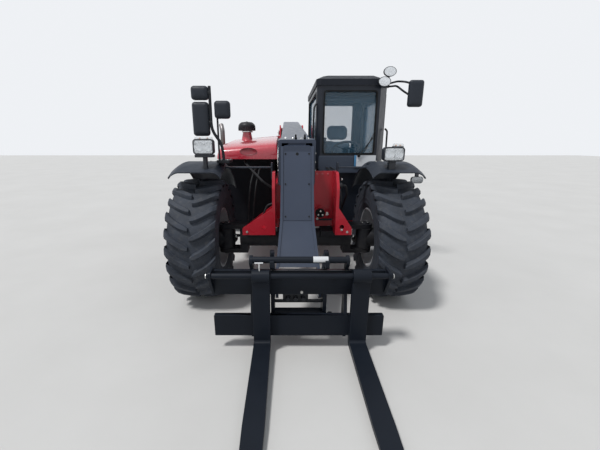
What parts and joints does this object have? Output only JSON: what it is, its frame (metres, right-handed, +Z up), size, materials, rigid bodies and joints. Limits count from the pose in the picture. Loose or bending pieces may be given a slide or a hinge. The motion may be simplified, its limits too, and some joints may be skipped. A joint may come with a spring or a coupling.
{
  "type": "telehandler",
  "caption": "Agricultural telehandler with side cab, telescopic boom, pallet forks, steered axles, hinged engine hood and opening cab door.",
  "frame": {"origin": "middle of the machine's outline on the ground", "axes": "-Y forwards past the fork tips, +X towards the machine's left side with the cab, +Z up"},
  "size_m": [2.675, 6.1064, 2.4436],
  "materials": {
    "frame_red": "gloss paint",
    "hood_red": "gloss paint",
    "cover_black": "satin paint",
    "axle_black": "satin paint",
    "rod_steel": "hard chrome",
    "engine_grey": "painted casting",
    "intake_black": "moulded",
    "exhaust_steel": "heat stained",
    "tank_black": "satin paint",
    "cab_black": "satin paint",
    "roof_grey": "moulded",
    "pane": "clear",
    "seat_fabric": "woven",
    "console_plastic": "moulded",
    "guard_black": "moulded",
    "lamp_black": "moulded",
    "lamp_red": "lens",
    "mirror_black": "moulded",
    "weight_black": "painted casting",
    "plate_white": "gloss",
    "boom_grey": "satin paint",
    "cylinder_black": "satin paint",
    "attachment_black": "satin paint",
    "tyre_rubber": "moulded rubber",
    "rim_grey": "satin paint"
  },
  "bodies": {
    "chassis": {"chassis_frame": "frame_red", "front_panel": "frame_red", "engine_block": "engine_grey", "engine_cover": "cover_black", "hood_front": "hood_red", "air_precleaner": "intake_black", "exhaust": "exhaust_steel", "hydraulic_tank": "tank_black", "cab_step": "tank_black", "cab_shell": "cab_black", "cab_roof": "roof_grey", "cab_glass": "pane", "seat": "seat_fabric", "dash_console": "console_plastic", "steering_wheel": "console_plastic", "mudguards": "guard_black", "headlamps": "lamp_black", "work_lamps": "lamp_black", "tail_lamps": "lamp_red", "mirrors": "mirror_black", "counterweight": "weight_black", "tow_hitch": "weight_black", "number_plate": "plate_white", "front_axle": "axle_black", "rear_axle": "axle_black"},
    "hood": {"hood": "hood_red"},
    "cab_door": {"cab_door": "cab_black", "door_glass": "pane"},
    "outer_boom": {"outer_boom": "boom_grey"},
    "inner_boom": {"inner_boom": "boom_grey"},
    "attachment": {"quick_coupler": "attachment_black", "carriage": "attachment_black", "forks": "attachment_black"},
    "lift_barrel": {"lift_barrel": "cylinder_black"},
    "lift_rod": {"lift_rod": "rod_steel"},
    "steering_rod_front": {"steering_rod_front": "rod_steel"},
    "steering_rod_rear": {"steering_rod_rear": "rod_steel"},
    "knuckle_front_left": {"knuckle_front_left": "axle_black"},
    "wheel_front_left": {"tyre_front_left": "tyre_rubber", "rim_front_left": "rim_grey"},
    "knuckle_front_right": {"knuckle_front_right": "axle_black"},
    "wheel_front_right": {"tyre_front_right": "tyre_rubber", "rim_front_right": "rim_grey"},
    "knuckle_rear_left": {"knuckle_rear_left": "axle_black"},
    "wheel_rear_left": {"tyre_rear_left": "tyre_rubber", "rim_rear_left": "rim_grey"},
    "knuckle_rear_right": {"knuckle_rear_right": "axle_black"},
    "wheel_rear_right": {"tyre_rear_right": "tyre_rubber", "rim_rear_right": "rim_grey"}
  },
  "joints": [
    {"name": "boom_lift", "type": "hinge", "parent": "chassis", "child": "outer_boom", "pos_m": [-0.1425, 2.29317, 1.79764], "axis": [-1, 0, 0], "range_deg": [0, 68]},
    {"name": "boom_extend", "type": "slide", "parent": "outer_boom", "child": "inner_boom", "axis": [0, -0.9938, -0.1115], "range_m": [0, 2.4]},
    {"name": "attachment_tilt", "type": "hinge", "parent": "inner_boom", "child": "attachment", "pos_m": [-0.1425, -1.61683, 0.44764], "axis": [1, 0, 0], "range_deg": [-12, 85]},
    {"name": "lift_barrel_swing", "type": "hinge", "parent": "chassis", "child": "lift_barrel", "pos_m": [-0.1425, 1.39317, 0.49764], "axis": [1, 0, 0], "range_deg": [0, 15.2]},
    {"name": "lift_rod_slide", "type": "slide", "parent": "lift_barrel", "child": "lift_rod", "axis": [0, 0.3656, 0.9308], "range_m": [0, 0.705]},
    {"name": "hood_open", "type": "hinge", "parent": "chassis", "child": "hood", "pos_m": [-0.3725, 0.73317, 1.69564], "axis": [0, 1, 0], "range_deg": [0, 50]},
    {"name": "door_open", "type": "hinge", "parent": "chassis", "child": "cab_door", "pos_m": [1.0115, 1.16717, 0.89764], "axis": [0, 0, 1], "range_deg": [0, 100]},
    {"name": "steer_front_left", "type": "hinge", "parent": "chassis", "child": "knuckle_front_left", "pos_m": [0.5925, -0.75683, 0.62264], "axis": [0, 0, 1], "range_deg": [-35, 35]},
    {"name": "steer_front_right", "type": "hinge", "parent": "chassis", "child": "knuckle_front_right", "pos_m": [-0.8775, -0.75683, 0.62264], "axis": [0, 0, 1], "range_deg": [-35, 35]},
    {"name": "steering_rod_front_slide", "type": "slide", "parent": "chassis", "child": "steering_rod_front", "axis": [-1, 0, 0], "range_m": [-0.13, 0.13]},
    {"name": "steer_rear_left", "type": "hinge", "parent": "chassis", "child": "knuckle_rear_left", "pos_m": [0.5925, 2.05317, 0.62264], "axis": [0, 0, 1], "range_deg": [-35, 35]},
    {"name": "steer_rear_right", "type": "hinge", "parent": "chassis", "child": "knuckle_rear_right", "pos_m": [-0.8775, 2.05317, 0.62264], "axis": [0, 0, 1], "range_deg": [-35, 35]},
    {"name": "steering_rod_rear_slide", "type": "slide", "parent": "chassis", "child": "steering_rod_rear", "axis": [1, 0, 0], "range_m": [-0.13, 0.13]},
    {"name": "roll_front_left", "type": "hinge", "parent": "knuckle_front_left", "child": "wheel_front_left", "pos_m": [0.8225, -0.75683, 0.62264], "axis": [1, 0, 0], "continuous": true},
    {"name": "roll_front_right", "type": "hinge", "parent": "knuckle_front_right", "child": "wheel_front_right", "pos_m": [-1.1075, -0.75683, 0.62264], "axis": [1, 0, 0], "continuous": true},
    {"name": "roll_rear_left", "type": "hinge", "parent": "knuckle_rear_left", "child": "wheel_rear_left", "pos_m": [0.8225, 2.05317, 0.62264], "axis": [1, 0, 0], "continuous": true},
    {"name": "roll_rear_right", "type": "hinge", "parent": "knuckle_rear_right", "child": "wheel_rear_right", "pos_m": [-1.1075, 2.05317, 0.62264], "axis": [1, 0, 0], "continuous": true}
  ],
  "couplings": [
    {"joint": "lift_barrel_swing", "follows": "boom_lift", "ratio": 0.22},
    {"joint": "lift_rod_slide", "follows": "boom_lift", "m_per_rad": 0.591},
    {"joint": "steer_front_right", "follows": "steer_front_left", "ratio": 1},
    {"joint": "steering_rod_front_slide", "follows": "steer_front_left", "m_per_rad": 0.211},
    {"joint": "steer_rear_right", "follows": "steer_rear_left", "ratio": 1},
    {"joint": "steering_rod_rear_slide", "follows": "steer_rear_left", "m_per_rad": 0.211}
  ]
}
